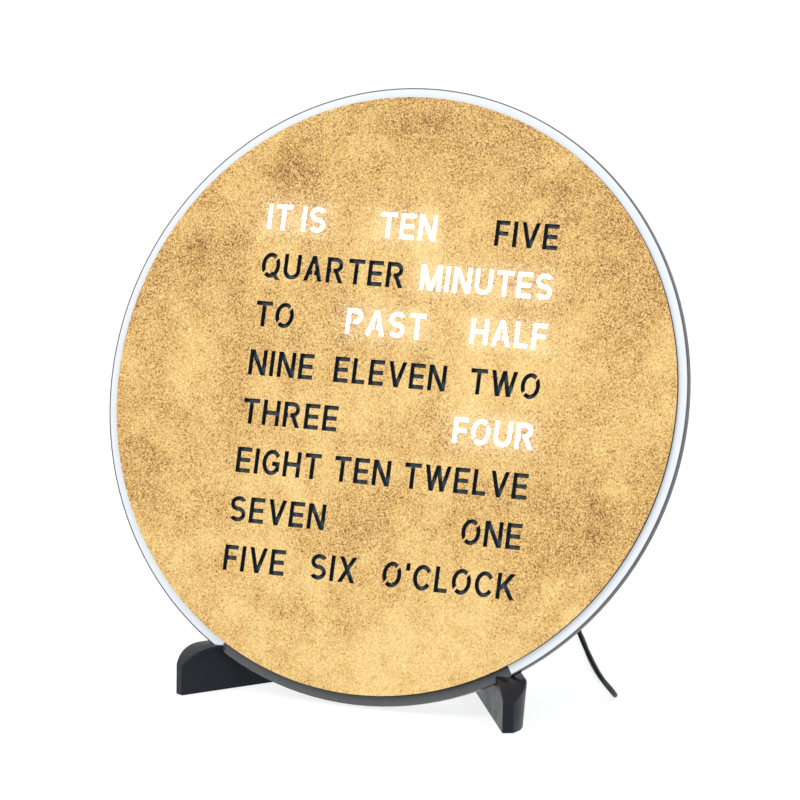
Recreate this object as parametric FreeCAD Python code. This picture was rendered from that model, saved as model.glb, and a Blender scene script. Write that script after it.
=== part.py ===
import FreeCAD, Part
import math
import os
from FreeCAD import Placement, Rotation, Vector

# Word clock: a round stencil face on a smoked disc, leaning back in two slotted feet.
# Lengths are in millimetres and angles in degrees. The face looks towards -Y, +Z is up,
# and the origin is on the table under the middle of the clock.

# Disc and its layers, from the front
LEAN = 16.0
FACE_RADIUS = 145.2
FACE_THICKNESS = 2.0
RIM_RADIUS = 150.0
RIM_BAND_WIDTH = 19.0
RIM_INNER_RADIUS = RIM_RADIUS - RIM_BAND_WIDTH
RIM_THICKNESS = 1.2
RIM_HALF_OPENING = 30.5
RIM_TURN = 1.3
SMOKED_THICKNESS = 2.5
TABLE_GAP = 0.8
LAYER_GAP = 0.3
OVERCUT = 1.0

# Words cut through the face. The letters are drawn on a grid and scaled to the cap height.
CAP_HEIGHT = 12.45
GRID_SCALE = CAP_HEIGHT / 12.45
LETTER_GRID = CAP_HEIGHT / GRID_SCALE
STROKE = 2.1
BRIDGE = 1.1
GRID_STROKE = STROKE / GRID_SCALE
GRID_BRIDGE = BRIDGE / GRID_SCALE
LETTER_GAP = 2.0
WORD_SPACE = 5.5
ROW_PITCH = 24.0
TEXT_HALF_WIDTH = 76.0
TEXT_TOP = 88.0
WINDOW_MARGIN = 2.4
CELL_MARGIN = 2.8

# Rear housing's outside, which the inner layers follow
HOUSING_RADIUS = 128.5
HOUSING_WALL = 2.5
HOUSING_DEPTH = 24.3
INNER_CLEARANCE = 2.0
INNER_RADIUS = HOUSING_RADIUS - HOUSING_WALL - INNER_CLEARANCE
FIXING_SETBACK = 7.5
FIXING_CIRCLE = HOUSING_RADIUS - FIXING_SETBACK

# Lighting behind the words
DIFFUSER_THICKNESS = 0.8
BAFFLE_DEPTH = 8.0
BOARD_THICKNESS = 1.6
LED_BOARD_SETBACK = 1.0
LED_BOARD_RADIUS = INNER_RADIUS - LED_BOARD_SETBACK
LED_SIZE = 5.0
LED_HEIGHT = 1.6
LED_PITCH = 16.0

# Control board behind the lamp board
STANDOFF_LENGTH = 6.0
STANDOFF_RADIUS = 2.6
BOARD_SCREW_RADIUS = 1.25
BOARD_SCREW_HEAD_RADIUS = 2.5
BOARD_SCREW_HEAD_HEIGHT = 1.4
BOARD_SCREW_DEPTH = 5.0
CONTROL_WIDTH = 84.0
CONTROL_HEIGHT = 56.0
CONTROL_CENTRE_V = -12.0
HOLE_INSET = 4.5
MAIN_CHIP_SIZE = 10.0
CLOCK_CHIP_WIDTH = 7.5
CHIP_HEIGHT = 1.6
CAPACITOR_RADIUS = 2.5
CAPACITOR_HEIGHT = 4.6
HEADER_LENGTH = 26.0
HEADER_WIDTH = 5.0
HEADER_OFFSET = 18.0
MAIN_CHIP_U = -16.0
CLOCK_CHIP_U = 2.0
CAPACITOR_COUNT = 3
CAPACITOR_FIRST_U = -31.0
CAPACITOR_PITCH = 8.0
CAPACITOR_OFFSET = 18.0
CELL_U = 26.0
CELL_RADIUS = 10.0
CELL_THICKNESS = 3.2
CELL_HOLDER_WALL = 1.6
CELL_HOLDER_FLOOR = 0.8

# Back cover, bosses and studs
COVER_THICKNESS = 2.0
VENT_COUNT = 9
VENT_LENGTH = 36.0
VENT_WIDTH = 2.4
VENT_PITCH = 5.4
VENT_CENTRE_V = 58.0
BOSS_RADIUS = 4.0
BOSS_ANGLES = (30.0, 90.0, 150.0, 210.0, 270.0, 330.0)
COVER_SCREW_RADIUS = 1.45
COVER_SCREW_HEAD_RADIUS = 2.8
COVER_SCREW_HEAD_HEIGHT = 1.6
COVER_SCREW_DEPTH = 9.0
STUD_RADIUS = 1.5
STUD_CLEARANCE = 0.25
STUD_ANGLES = (0.0, 60.0, 120.0, 180.0, 240.0, 300.0)
STUD_FOOT_RADIUS = 4.5
STUD_FOOT_HEIGHT = 0.9
STUD_TIP = 1.0
NUT_WIDTH = 5.5
NUT_HEIGHT = 2.4
LUG_RADIUS = 5.5
LUG_THICKNESS = 3.0

# Setting buttons on the back
BUTTON_CENTRES_U = (-22.0, 0.0, 22.0)
BUTTON_SETBACK = 30.5
BUTTON_CENTRE_V = HOUSING_RADIUS - BUTTON_SETBACK
BUTTON_RADIUS = 3.6
BUTTON_CLEARANCE = 0.25
BUTTON_PROUD = 1.6
BUTTON_FLANGE_RADIUS = 4.8
BUTTON_FLANGE_HEIGHT = 1.0
BUTTON_TRAVEL = 0.5
BUTTON_RUNNING_GAP = 0.3
BUTTON_STEM_RADIUS = 1.7
SWITCH_SIZE = 6.0
SWITCH_HEIGHT = 3.5
PLUNGER_RADIUS = 1.75
PLUNGER_CLEARANCE = 0.1
PLUNGER_LENGTH = 2.4
BUTTON_BOARD_WIDTH = 62.0
BUTTON_BOARD_HEIGHT = 12.0
BUTTON_POST_RADIUS = 3.0
BUTTON_EDGE_RADIUS = 0.6
SWITCH_ROOM = 6.0

# Power inlet on the back
INLET_U = 66.0
INLET_V = -66.0
INLET_WIDTH = 9.0
INLET_DEPTH = 13.0
INLET_NOSE_RADIUS = 4.0
INLET_BORE_RADIUS = 2.85
INLET_PIN_RADIUS = 0.95
INLET_CLEARANCE = 0.2
INLET_BOARD_WIDTH = 16.0
INLET_PIN_SETBACK = 1.0
INLET_FLOOR_CLEARANCE = 1.0
INLET_POST_RADIUS = 2.0
INLET_POST_INSET = 2.5
LEAD_END_INSET = 9.0
LEAD_RADIUS = 0.8
LEAD_RUN = 12.0

# Lead with its two plugs
BARREL_RADIUS = 2.75
BARREL_LENGTH = 9.0
BARREL_WALL = 0.75
PLUG_RADIUS = 4.6
PLUG_LENGTH = 15.0
PLUG_EDGE_RADIUS = 0.9
RELIEF_LENGTH = 12.0
RELIEF_RADIUS = 2.6
CORD_DIAMETER = 2.5
RELIEF_END_WALL = 0.5
COIL_PITCH = 3.6
COIL_LAYER_HEIGHT = 3.1
COIL_MIDDLE_RADIUS = 15.0
USB_BODY_LENGTH = 22.0
USB_BODY_WIDTH = 15.0
USB_BODY_HEIGHT = 7.5
USB_SHELL_LENGTH = 12.0
USB_SHELL_WIDTH = 12.0
USB_SHELL_HEIGHT = 4.5
USB_SHELL_WALL = 0.4
USB_TONGUE_THICKNESS = 1.8
USB_RELIEF_LENGTH = 10.0
USB_RELIEF_STEP = 0.6
USB_EDGE_RADIUS = 1.2
USB_TONGUE_SETBACK = 1.0

# Feet
FOOT_FRONT_X = 83.2
FOOT_FRONT_Y = -54.5
FOOT_SPLAY = 30.7
FOOT_LENGTH = 106.0
FOOT_WIDTH = 14.0
FOOT_DRAFT = 1.7
FOOT_NOSE_FLAT = 5.0
FOOT_NOSE_LENGTH = 18.0
FOOT_FRONT_HEIGHT = 15.0
FOOT_CREST_HEIGHT = 22.3
FOOT_CREST_START = 20.0
FOOT_CREST_END = 50.0
FOOT_TAIL_HEIGHT = 9.0
FOOT_EDGE_RADIUS = 0.8
SLOT_CLEARANCE = 0.3
FOOT_PAD_RADIUS = 4.0
FOOT_PAD_THICKNESS = 1.2
FOOT_PAD_PROUD = 0.4
FOOT_PAD_CLEARANCE = 0.1
FOOT_PAD_PLACES = (9.0, 92.0)

# Levels behind the face's front, as places along the disc's own axis
FACE_BACK = -FACE_THICKNESS
RIM_BACK = FACE_BACK - RIM_THICKNESS
SMOKED_BACK = RIM_BACK - SMOKED_THICKNESS
DIFFUSER_BACK = SMOKED_BACK - DIFFUSER_THICKNESS
BAFFLE_BACK = DIFFUSER_BACK - BAFFLE_DEPTH
LED_BOARD_BACK = BAFFLE_BACK - BOARD_THICKNESS
CONTROL_FRONT = LED_BOARD_BACK - STANDOFF_LENGTH
CONTROL_BACK = CONTROL_FRONT - BOARD_THICKNESS
HOUSING_BACK = SMOKED_BACK - HOUSING_DEPTH
COVER_BACK = HOUSING_BACK - COVER_THICKNESS

SIN_LEAN = math.sin(math.radians(LEAN))
COS_LEAN = math.cos(math.radians(LEAN))
RIM_DROP = RIM_RADIUS * COS_LEAN - SMOKED_BACK * SIN_LEAN
HOUSING_DROP = HOUSING_RADIUS * COS_LEAN - COVER_BACK * SIN_LEAN
DISC_HEIGHT = max(RIM_DROP, HOUSING_DROP) + TABLE_GAP
BACK_REACH = HOUSING_RADIUS * SIN_LEAN - COVER_BACK * COS_LEAN
DISC_Y = -(BACK_REACH + FOOT_FRONT_Y) / 2
DISC_PLACE = Placement(Vector(0, DISC_Y, DISC_HEIGHT), Rotation(Vector(1, 0, 0), 90 - LEAN))

FRONT = Vector(0, 0, 1)
UP = Vector(0, 0, 1)


def cylinder(radius, low, high, u=0.0, v=0.0):
    """Round bar along the disc's axis, between two levels."""
    return Part.makeCylinder(radius, high - low, Vector(u, v, low), FRONT)


def block(width, height, low, high, u=0.0, v=0.0):
    """Rectangular bar along the disc's axis, centred on (u, v)."""
    corner = Vector(u - width / 2, v - height / 2, low)
    return Part.makeBox(width, height, high - low, corner)


def polar(radius, angle):
    return radius * math.cos(math.radians(angle)), radius * math.sin(math.radians(angle))


def on_circle(radius, angles):
    return [polar(radius, angle) for angle in angles]


def together(solids):
    """Several separate solids as one shape."""
    return Part.makeCompound(solids)


def face_of(points):
    return Part.Face(Part.makePolygon([Vector(x, y, 0) for x, y in points + points[:1]]))


# Stencil letters. Each letter is a set of strokes in a box that is LETTER_GRID high.

def bar(x0, y0, x1, y1):
    """Upright or slanted stroke of the letter's thickness, with level ends."""
    half = GRID_STROKE / 2
    if abs(x1 - x0) > abs(y1 - y0):
        return face_of([(x0, y0 - half), (x1, y1 - half), (x1, y1 + half), (x0, y0 + half)])
    slant = math.hypot(x1 - x0, y1 - y0) / abs(y1 - y0)
    half = half * slant
    return face_of([(x0 - half, y0), (x0 + half, y0), (x1 + half, y1), (x1 - half, y1)])


def bowl(cx, cy, rx, ry, start, end):
    """Part of an oval ring, whose outer radii are rx and ry, from one angle to another."""
    def oval(a, b):
        if abs(a - b) < 0.01:
            curve = Part.Circle(Vector(cx, cy, 0), UP, a)
        elif a > b:
            curve = Part.Ellipse(Vector(cx, cy, 0), a, b)
        else:
            turned = Part.Ellipse(Vector(0, 0, 0), b, a).toShape()
            turned.Placement = Placement(Vector(cx, cy, 0), Rotation(UP, 90))
            return Part.Face(Part.Wire(turned))
        return Part.Face(Part.Wire(curve.toShape()))
    ring = oval(rx, ry).cut(oval(rx - GRID_STROKE, ry - GRID_STROKE))
    if end - start >= 360:
        return ring
    reach = 3 * max(rx, ry)
    steps = max(1, math.ceil((end - start) / 60.0))
    fan = [(cx, cy)]
    for k in range(steps + 1):
        angle = math.radians(start + (end - start) * k / steps)
        fan.append((cx + reach * math.cos(angle), cy + reach * math.sin(angle)))
    return ring.common(face_of(fan))


def slash(cx, cy, length, angle, width):
    """Thin slanted strip that is left uncut, so that the letter's middle stays held."""
    dx, dy = polar(length / 2, angle)
    nx, ny = polar(width / 2, angle + 90)
    return face_of([(cx - dx - nx, cy - dy - ny), (cx + dx - nx, cy + dy - ny),
                    (cx + dx + nx, cy + dy + ny), (cx - dx + nx, cy - dy + ny)])


def joined(strokes, gaps=()):
    shape = strokes[0].multiFuse(strokes[1:]) if len(strokes) > 1 else strokes[0]
    for gap in gaps:
        shape = shape.cut(gap)
    return shape


def letter(name):
    """The letter's flat shape and its width."""
    h = LETTER_GRID
    t = GRID_STROKE
    mid = h / 2
    low, high = t / 2, h - t / 2
    if name == "'":
        return bar(t / 2, h - 3.6, t / 2, h), t
    if name == "I":
        return bar(t / 2, 0, t / 2, h), t
    if name == "L":
        return joined([bar(t / 2, 0, t / 2, h), bar(0, low, 6.8, low)]), 6.8
    if name == "T":
        return joined([bar(4.3, 0, 4.3, h), bar(0, high, 8.6, high)]), 8.6
    if name == "H":
        return joined([bar(t / 2, 0, t / 2, h), bar(9.0 - t / 2, 0, 9.0 - t / 2, h),
                       bar(t / 2, mid, 9.0 - t / 2, mid)]), 9.0
    if name == "E":
        return joined([bar(t / 2, 0, t / 2, h), bar(0, low, 7.7, low), bar(0, mid, 7.2, mid),
                       bar(0, high, 7.7, high)]), 7.7
    if name == "F":
        return joined([bar(t / 2, 0, t / 2, h), bar(0, mid, 6.7, mid),
                       bar(0, high, 7.2, high)]), 7.2
    if name == "N":
        return joined([bar(t / 2, 0, t / 2, h), bar(9.2 - t / 2, 0, 9.2 - t / 2, h),
                       bar(t / 2 + 0.2, h, 9.2 - t / 2 - 0.2, 0)]), 9.2
    if name == "M":
        return joined([bar(t / 2, 0, t / 2, h), bar(11.0 - t / 2, 0, 11.0 - t / 2, h),
                       bar(t / 2 + 0.2, h, 5.5, 0), bar(11.0 - t / 2 - 0.2, h, 5.5, 0)]), 11.0
    if name == "V":
        return joined([bar(1.1, h, 4.7, 0), bar(8.3, h, 4.7, 0)]), 9.4
    if name == "W":
        return joined([bar(1.1, h, 3.9, 0), bar(6.7, h, 3.9, 0), bar(6.7, h, 9.5, 0),
                       bar(12.3, h, 9.5, 0)]), 13.4
    if name == "X":
        return joined([bar(1.3, 0, 8.1, h), bar(1.3, h, 8.1, 0)]), 9.4
    if name == "K":
        return joined([bar(t / 2, 0, t / 2, h), bar(1.6, 4.4, 7.8, h), bar(3.9, 7.0, 8.2, 0)]), 9.4
    if name == "A":
        gap = slash(4.9, 4.1, 4 * t, 90, GRID_BRIDGE)
        return joined([bar(1.1, 0, 4.9, h), bar(8.7, 0, 4.9, h), bar(2.3, 4.1, 7.5, 4.1)],
                      [gap]), 9.8
    if name in ("O", "Q", "C", "G"):
        rx = 4.9
        if name == "O":
            gap = slash(rx, mid, 2 * h, 52, GRID_BRIDGE)
            return joined([bowl(rx, mid, rx, mid, 0, 360)], [gap]), 2 * rx
        if name == "Q":
            gap = slash(rx, mid, 2 * h, 52, GRID_BRIDGE)
            tail = bar(6.2, 3.0, 9.2, -0.8)
            return joined([bowl(rx, mid, rx, mid, 0, 360), tail], [gap]), 2 * rx
        if name == "C":
            return bowl(rx, mid, rx, mid, 42, 318), 9.2
        spur = [bowl(rx, mid, rx, mid, 42, 322), bar(9.2 - t / 2, 1.9, 9.2 - t / 2, 6.4),
                bar(5.2, 5.6, 9.2, 5.6)]
        return joined(spur), 9.2
    if name == "U":
        bend = 4.5
        return joined([bar(t / 2, bend, t / 2, h), bar(9.0 - t / 2, bend, 9.0 - t / 2, h),
                       bowl(4.5, bend, 4.5, bend, 180, 360)]), 9.0
    if name == "S":
        ry = (h + t) / 4
        rx = 4.2
        return joined([bowl(rx, h - ry, rx, ry, 25, 270), bowl(rx, ry, rx, ry, -90, 90),
                       bowl(rx, ry, rx, ry, 205, 270)]), 2 * rx
    if name in ("P", "R"):
        ry = 3.75
        top = h - ry
        arc = bowl(4.6, top, 3.9, ry, -90, 90)
        strokes = [bar(t / 2, 0, t / 2, h), bar(t / 2, high, 4.7, high), arc,
                   bar(t / 2, top - ry + t / 2, 4.7, top - ry + t / 2)]
        gap = slash(t + GRID_BRIDGE / 2 + 0.4, top - ry + t / 2, 2 * t, 90, GRID_BRIDGE)
        if name == "R":
            strokes.append(bar(4.9, top - ry + t / 2, 8.0, 0))
        return joined(strokes, [gap]), 8.7 if name == "P" else 9.3
    raise ValueError(name)


def word_width(word):
    width = 0.0
    for k, sign in enumerate(word):
        width += WORD_SPACE if sign == " " else WIDTHS[sign]
        if k + 1 < len(word) and sign != " " and word[k + 1] != " ":
            width += LETTER_GAP
    return width


# Each row has its words with their place: left edge, right edge, or the middle's u.
ROWS = (
    (("IT IS", "left", 0.0), ("TEN", "middle", -1.7), ("FIVE", "right", 0.0)),
    (("QUARTER", "left", 0.0), ("MINUTES", "right", 0.0)),
    (("TO", "left", 0.0), ("PAST", "middle", -7.0), ("HALF", "right", 0.0)),
    (("NINE", "left", 0.0), ("ELEVEN", "middle", -1.5), ("TWO", "right", 0.0)),
    (("THREE", "left", 0.0), ("FOUR", "right", 0.0)),
    (("EIGHT", "left", 0.0), ("TEN", "middle", -9.5), ("TWELVE", "right", 0.0)),
    (("SEVEN", "left", 0.0), ("ONE", "right", 0.0)),
    (("FIVE", "left", 0.0), ("SIX", "middle", -18.0), ("O'CLOCK", "right", 0.0)),
)
GLYPHS = {}
WIDTHS = {}
for sign in sorted({s for row in ROWS for word, _, _ in row for s in word if s != " "}):
    flat_shape, grid_width = letter(sign)
    flat_shape.scale(GRID_SCALE)
    GLYPHS[sign] = flat_shape
    WIDTHS[sign] = grid_width * GRID_SCALE


def word_places():
    """Every word with its left edge, its width and its baseline."""
    places = []
    for row, words in enumerate(ROWS):
        base = TEXT_TOP - CAP_HEIGHT - row * ROW_PITCH
        for word, side, middle in words:
            width = word_width(word)
            left = {"left": -TEXT_HALF_WIDTH, "right": TEXT_HALF_WIDTH - width,
                    "middle": middle - width / 2}[side]
            places.append((word, left, width, base))
    return places


def letter_cutters():
    cutters = []
    for word, left, _, base in word_places():
        pen = left
        for k, sign in enumerate(word):
            if sign == " ":
                pen += WORD_SPACE
                continue
            flat = GLYPHS[sign].copy()
            flat.translate(Vector(pen, base, FACE_BACK - OVERCUT))
            cutters.append(flat.extrude(Vector(0, 0, FACE_THICKNESS + 2 * OVERCUT)))
            pen += WIDTHS[sign]
            if k + 1 < len(word) and word[k + 1] != " ":
                pen += LETTER_GAP
    return cutters


def word_windows(low, high, margin):
    """One box for each word, larger than the word by the margin."""
    boxes = []
    for _, left, width, base in word_places():
        boxes.append(block(width + 2 * margin, CAP_HEIGHT + 2 * margin, low, high,
                           left + width / 2, base + CAP_HEIGHT / 2))
    return boxes


# Front layers

def make_face_plate():
    return cylinder(FACE_RADIUS, FACE_BACK, 0).cut(together(letter_cutters()))


def make_rim_ring():
    ring = cylinder(RIM_RADIUS, RIM_BACK, FACE_BACK).cut(cylinder(RIM_INNER_RADIUS, RIM_BACK, FACE_BACK))
    reach = 2 * RIM_RADIUS
    left = polar(reach, 270 - RIM_HALF_OPENING + RIM_TURN)
    right = polar(reach, 270 + RIM_HALF_OPENING + RIM_TURN)
    wedge = face_of([(0, 0), left, right])
    wedge.translate(Vector(0, 0, RIM_BACK))
    return ring.cut(together([wedge.extrude(Vector(0, 0, RIM_THICKNESS))] + stud_rooms()))


def stud_places():
    return on_circle(FIXING_CIRCLE, STUD_ANGLES)


def stud_rooms():
    """Room for the studs' feet in the layer between the face and the smoked disc."""
    return [cylinder(STUD_FOOT_RADIUS + LAYER_GAP, RIM_BACK, FACE_BACK, u, v) for u, v in stud_places()]


def make_light_mask():
    sheet = cylinder(RIM_INNER_RADIUS - LAYER_GAP, RIM_BACK, FACE_BACK)
    holes = word_windows(RIM_BACK, FACE_BACK, WINDOW_MARGIN)
    return sheet.cut(together(holes + stud_rooms()))


def make_smoked_disc():
    holes = [cylinder(STUD_RADIUS + STUD_CLEARANCE, SMOKED_BACK, RIM_BACK, u, v) for u, v in stud_places()]
    return cylinder(RIM_RADIUS, SMOKED_BACK, RIM_BACK).cut(together(holes))


def make_face_studs():
    studs = []
    for u, v in stud_places():
        foot = cylinder(STUD_FOOT_RADIUS, FACE_BACK - STUD_FOOT_HEIGHT, FACE_BACK, u, v)
        shank = cylinder(STUD_RADIUS, SMOKED_BACK - LUG_THICKNESS - NUT_HEIGHT - STUD_TIP, FACE_BACK, u, v)
        studs.append(foot.fuse(shank))
    return together(studs)


def hexagon(width, low, high, u, v):
    corner = width / math.sqrt(3)
    points = [(u + x, v + y) for x, y in on_circle(corner, range(0, 360, 60))]
    flat = face_of(points)
    flat.translate(Vector(0, 0, low))
    return flat.extrude(Vector(0, 0, high - low))


def make_stud_nuts():
    front = SMOKED_BACK - LUG_THICKNESS
    back = front - NUT_HEIGHT
    return together([hexagon(NUT_WIDTH, back, front, u, v).cut(cylinder(STUD_RADIUS, back, front, u, v))
                     for u, v in stud_places()])


# Lighting

def inner_relief(low, high):
    """Room for the stud lugs and the screw bosses at the edge of the inner layers."""
    radius = LUG_RADIUS + LAYER_GAP
    middle = (FIXING_CIRCLE + HOUSING_RADIUS) / 2
    rooms = []
    for angle in STUD_ANGLES + BOSS_ANGLES:
        way_out = block(FIXING_SETBACK, 2 * radius, low, high, middle, 0)
        room = cylinder(radius, low, high, FIXING_CIRCLE, 0).fuse(way_out)
        room.rotate(Vector(0, 0, 0), FRONT, angle)
        rooms.append(room)
    return together(rooms)


def make_diffuser():
    sheet = cylinder(INNER_RADIUS, DIFFUSER_BACK, SMOKED_BACK)
    return sheet.cut(inner_relief(DIFFUSER_BACK, SMOKED_BACK))


def make_light_baffle():
    body = cylinder(INNER_RADIUS, BAFFLE_BACK, DIFFUSER_BACK)
    body = body.cut(inner_relief(BAFFLE_BACK, DIFFUSER_BACK))
    return body.cut(together(word_windows(BAFFLE_BACK, DIFFUSER_BACK, CELL_MARGIN)))


def standoff_places():
    half_u = CONTROL_WIDTH / 2 - HOLE_INSET
    half_v = CONTROL_HEIGHT / 2 - HOLE_INSET
    return [(su * half_u, CONTROL_CENTRE_V + sv * half_v) for su in (-1, 1) for sv in (-1, 1)]


def make_led_board():
    board = cylinder(LED_BOARD_RADIUS, LED_BOARD_BACK, BAFFLE_BACK)
    return board.cut(inner_relief(LED_BOARD_BACK, BAFFLE_BACK))


def make_leds():
    lamps = []
    for _, left, width, base in word_places():
        count = max(2, round(width / LED_PITCH))
        for k in range(count):
            u = left + width * (k + 0.5) / count
            lamps.append(block(LED_SIZE, LED_SIZE, BAFFLE_BACK, BAFFLE_BACK + LED_HEIGHT,
                               u, base + CAP_HEIGHT / 2))
    return together(lamps)


# Control electronics

def make_standoffs():
    pillars = []
    for u, v in standoff_places():
        pillar = cylinder(STANDOFF_RADIUS, CONTROL_FRONT, LED_BOARD_BACK, u, v)
        pillars.append(pillar.cut(cylinder(BOARD_SCREW_RADIUS, CONTROL_FRONT, LED_BOARD_BACK, u, v)))
    return together(pillars)


def make_control_board():
    board = block(CONTROL_WIDTH, CONTROL_HEIGHT, CONTROL_BACK, CONTROL_FRONT, 0, CONTROL_CENTRE_V)
    holes = [cylinder(BOARD_SCREW_RADIUS, CONTROL_BACK, CONTROL_FRONT, u, v) for u, v in standoff_places()]
    return board.cut(together(holes))


def make_board_screws():
    screws = []
    tip = CONTROL_BACK + BOARD_SCREW_DEPTH
    for u, v in standoff_places():
        head = cylinder(BOARD_SCREW_HEAD_RADIUS, CONTROL_BACK - BOARD_SCREW_HEAD_HEIGHT, CONTROL_BACK, u, v)
        screws.append(head.fuse(cylinder(BOARD_SCREW_RADIUS, CONTROL_BACK, tip, u, v)))
    return together(screws)


def make_main_chip():
    return block(MAIN_CHIP_SIZE, MAIN_CHIP_SIZE, CONTROL_BACK - CHIP_HEIGHT, CONTROL_BACK,
                 MAIN_CHIP_U, CONTROL_CENTRE_V)


def make_clock_chip():
    return block(CLOCK_CHIP_WIDTH, MAIN_CHIP_SIZE, CONTROL_BACK - CHIP_HEIGHT, CONTROL_BACK,
                 CLOCK_CHIP_U, CONTROL_CENTRE_V)


def make_capacitors():
    low = CONTROL_BACK - CAPACITOR_HEIGHT
    v = CONTROL_CENTRE_V - CAPACITOR_OFFSET
    places = [CAPACITOR_FIRST_U + CAPACITOR_PITCH * k for k in range(CAPACITOR_COUNT)]
    return together([cylinder(CAPACITOR_RADIUS, low, CONTROL_BACK, u, v) for u in places])


def make_board_header():
    return block(HEADER_LENGTH, HEADER_WIDTH, CONTROL_FRONT, LED_BOARD_BACK,
                 0, CONTROL_CENTRE_V + HEADER_OFFSET)


def make_cell_holder():
    outer = CELL_RADIUS + LAYER_GAP + CELL_HOLDER_WALL
    low = CONTROL_BACK - CELL_HOLDER_FLOOR - CELL_THICKNESS
    cup = cylinder(outer, low, CONTROL_BACK, CELL_U, CONTROL_CENTRE_V)
    top = CONTROL_BACK - CELL_HOLDER_FLOOR
    return cup.cut(cylinder(CELL_RADIUS + LAYER_GAP, low, top, CELL_U, CONTROL_CENTRE_V))


def make_coin_cell():
    top = CONTROL_BACK - CELL_HOLDER_FLOOR
    return cylinder(CELL_RADIUS, top - CELL_THICKNESS, top, CELL_U, CONTROL_CENTRE_V)


# Rear housing, cover and screws

def make_rear_housing():
    shell = cylinder(HOUSING_RADIUS, HOUSING_BACK, SMOKED_BACK)
    shell = shell.cut(cylinder(HOUSING_RADIUS - HOUSING_WALL, HOUSING_BACK, SMOKED_BACK))
    inner = cylinder(HOUSING_RADIUS - HOUSING_WALL / 2, HOUSING_BACK, SMOKED_BACK)
    extras = [cylinder(BOSS_RADIUS, HOUSING_BACK, SMOKED_BACK, u, v)
              for u, v in on_circle(FIXING_CIRCLE, BOSS_ANGLES)]
    middle = (FIXING_CIRCLE + HOUSING_RADIUS) / 2
    lug_back = SMOKED_BACK - LUG_THICKNESS
    for angle in STUD_ANGLES:
        u, v = polar(FIXING_CIRCLE, angle)
        lug = cylinder(LUG_RADIUS, lug_back, SMOKED_BACK, u, v)
        arm = block(FIXING_SETBACK, 2 * LUG_RADIUS, lug_back, SMOKED_BACK, middle, 0)
        arm.rotate(Vector(0, 0, 0), FRONT, angle)
        extras.append(lug.fuse(arm.common(inner)))
    for angle in BOSS_ANGLES:
        web = block(FIXING_SETBACK, HOUSING_WALL, HOUSING_BACK, SMOKED_BACK, middle, 0)
        web.rotate(Vector(0, 0, 0), FRONT, angle)
        extras.append(web.common(inner))
    shell = shell.multiFuse(extras)
    holes = [cylinder(STUD_RADIUS + STUD_CLEARANCE, lug_back, SMOKED_BACK, u, v)
             for u, v in stud_places()]
    holes += [cylinder(COVER_SCREW_RADIUS, HOUSING_BACK, HOUSING_BACK + COVER_SCREW_DEPTH, u, v)
              for u, v in on_circle(FIXING_CIRCLE, BOSS_ANGLES)]
    return shell.cut(together(holes)).removeSplitter()


def button_places():
    return [(u, BUTTON_CENTRE_V) for u in BUTTON_CENTRES_U]


def make_back_cover():
    cover = cylinder(HOUSING_RADIUS, COVER_BACK, HOUSING_BACK)
    holes = [cylinder(COVER_SCREW_RADIUS, COVER_BACK, HOUSING_BACK, u, v)
             for u, v in on_circle(FIXING_CIRCLE, BOSS_ANGLES)]
    holes += [cylinder(BUTTON_RADIUS + BUTTON_CLEARANCE, COVER_BACK, HOUSING_BACK, u, v)
              for u, v in button_places()]
    holes.append(cylinder(INLET_NOSE_RADIUS + INLET_CLEARANCE, COVER_BACK, HOUSING_BACK, INLET_U, INLET_V))
    for k in range(VENT_COUNT):
        v = VENT_CENTRE_V + VENT_PITCH * (k - (VENT_COUNT - 1) / 2)
        straight = block(VENT_LENGTH - VENT_WIDTH, VENT_WIDTH, COVER_BACK, HOUSING_BACK, 0, v)
        ends = [cylinder(VENT_WIDTH / 2, COVER_BACK, HOUSING_BACK, side * (VENT_LENGTH - VENT_WIDTH) / 2, v)
                for side in (-1, 1)]
        holes.append(straight.multiFuse(ends))
    return cover.cut(together(holes))


def make_cover_screws():
    screws = []
    for u, v in on_circle(FIXING_CIRCLE, BOSS_ANGLES):
        head = cylinder(COVER_SCREW_HEAD_RADIUS, COVER_BACK - COVER_SCREW_HEAD_HEIGHT, COVER_BACK, u, v)
        shank = cylinder(COVER_SCREW_RADIUS, COVER_BACK, HOUSING_BACK + COVER_SCREW_DEPTH, u, v)
        screws.append(head.fuse(shank))
    return together(screws)


# Buttons

FLANGE_BACK = HOUSING_BACK + BUTTON_RUNNING_GAP
FLANGE_FRONT = FLANGE_BACK + BUTTON_FLANGE_HEIGHT
SWITCH_BOARD_BACK = FLANGE_FRONT + SWITCH_ROOM
SWITCH_BACK = SWITCH_BOARD_BACK - SWITCH_HEIGHT
PLUNGER_BACK = SWITCH_BACK - PLUNGER_LENGTH / 2
PLUNGER_FRONT = PLUNGER_BACK + PLUNGER_LENGTH


def make_button(u, v):
    cap = cylinder(BUTTON_RADIUS, COVER_BACK - BUTTON_PROUD, FLANGE_BACK, u, v)
    flange = cylinder(BUTTON_FLANGE_RADIUS, FLANGE_BACK, FLANGE_FRONT, u, v)
    stem = cylinder(BUTTON_STEM_RADIUS, FLANGE_FRONT, PLUNGER_BACK, u, v)
    button = cap.multiFuse([flange, stem])
    rim = [edge for edge in button.Edges
           if edge.BoundBox.ZMax < COVER_BACK - BUTTON_PROUD + 0.01 and edge.Closed]
    return button.makeFillet(BUTTON_EDGE_RADIUS, rim)


def make_plunger(u, v):
    return cylinder(PLUNGER_RADIUS, PLUNGER_BACK, PLUNGER_FRONT, u, v)


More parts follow.
